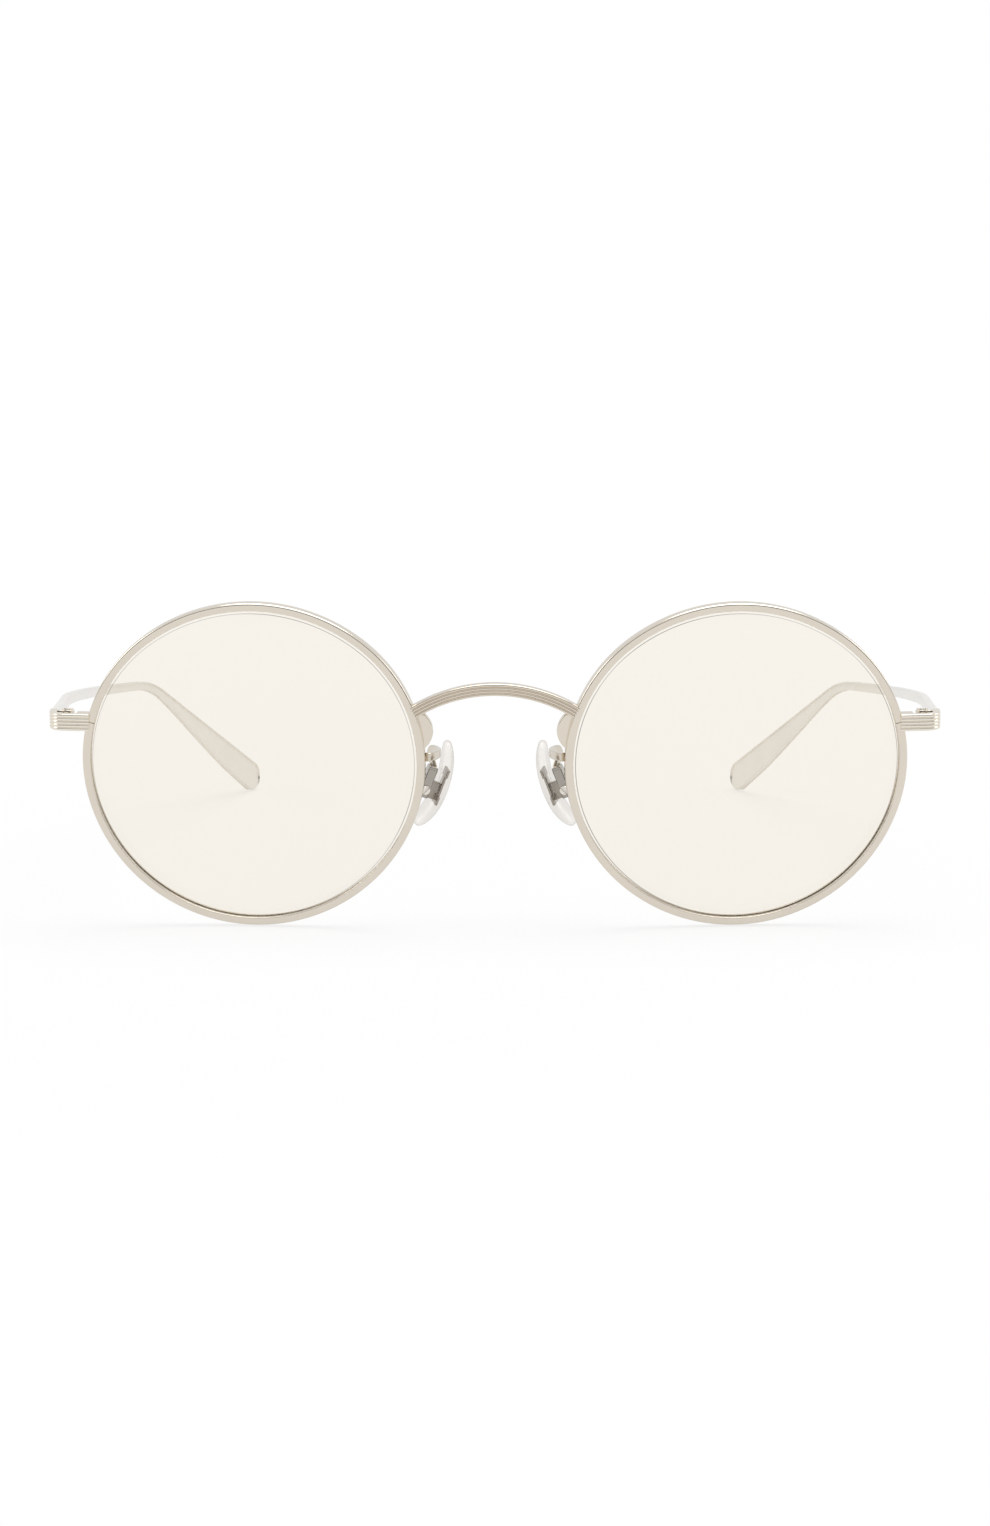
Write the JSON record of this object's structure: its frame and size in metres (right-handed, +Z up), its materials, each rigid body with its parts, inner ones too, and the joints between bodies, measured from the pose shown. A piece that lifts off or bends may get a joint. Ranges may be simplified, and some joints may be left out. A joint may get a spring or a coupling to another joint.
{
  "type": "eyeglasses",
  "caption": "Round wire eyeglasses with a ridged bridge and end pieces, clear nose pads that rock on screws, and slim temples that fold on screw hinges.",
  "frame": {"origin": "on the floor, in the middle plane, halfway between the front of the object and the back of the temple tips", "axes": "+X to the wearer's left, +Y from the front towards the temple tips, +Z up; the frame stands on its rims and temple tips"},
  "size_m": [0.1354, 0.1424, 0.0486],
  "materials": {
    "rim_metal": "satin",
    "bridge_metal": "satin",
    "end_metal": "satin",
    "temple_metal": "satin",
    "hinge_metal": "satin",
    "pad_arm_metal": "satin",
    "pad_box_metal": "satin",
    "screw_metal": "polished",
    "lens_tint": "gloss",
    "pad_clear": "gloss"
  },
  "bodies": {
    "front": {"bridge": "bridge_metal", "rim_right": "rim_metal", "rim_left": "rim_metal", "lens_right": "lens_tint", "lens_left": "lens_tint", "bridge_foot_right": "rim_metal", "bridge_foot_left": "rim_metal", "pad_arm_right": "pad_arm_metal", "pad_arm_left": "pad_arm_metal", "pad_box_right": "pad_box_metal", "pad_box_left": "pad_box_metal", "pad_screw_right": "screw_metal", "pad_screw_left": "screw_metal", "end_piece_right": "end_metal", "end_piece_left": "end_metal", "rim_lock_upper_right": "rim_metal", "rim_lock_upper_left": "rim_metal", "rim_lock_lower_right": "rim_metal", "rim_lock_lower_left": "rim_metal", "rim_lock_screw_right": "screw_metal", "rim_lock_screw_left": "screw_metal", "hinge_front_right": "hinge_metal", "hinge_front_left": "hinge_metal", "hinge_screw_right": "screw_metal", "hinge_screw_left": "screw_metal"},
    "temple_right": {"temple_right": "temple_metal", "hinge_temple_right": "hinge_metal"},
    "nose_pad_right": {"nose_pad_right": "pad_clear", "pad_insert_right": "pad_box_metal"},
    "temple_left": {"temple_left": "temple_metal", "hinge_temple_left": "hinge_metal"},
    "nose_pad_left": {"nose_pad_left": "pad_clear", "pad_insert_left": "pad_box_metal"}
  },
  "joints": [
    {"name": "temple_right_fold", "type": "hinge", "parent": "front", "child": "temple_right", "pos_m": [-0.063, -0.06302, 0.03051], "axis": [0, -0.084, -0.9965], "range_deg": [0, 70]},
    {"name": "temple_left_fold", "type": "hinge", "parent": "front", "child": "temple_left", "pos_m": [0.063, -0.06302, 0.03051], "axis": [0, 0.084, 0.9965], "range_deg": [0, 80.5]},
    {"name": "nose_pad_right_rock", "type": "hinge", "parent": "front", "child": "nose_pad_right", "pos_m": [-0.01042, -0.06082, 0.01973], "axis": [0.1299, -0.9903, -0.0499], "range_deg": [-3, 3]},
    {"name": "nose_pad_left_rock", "type": "hinge", "parent": "front", "child": "nose_pad_left", "pos_m": [0.01042, -0.06082, 0.01973], "axis": [0.1299, 0.9903, 0.0499], "range_deg": [-3, 3]}
  ]
}
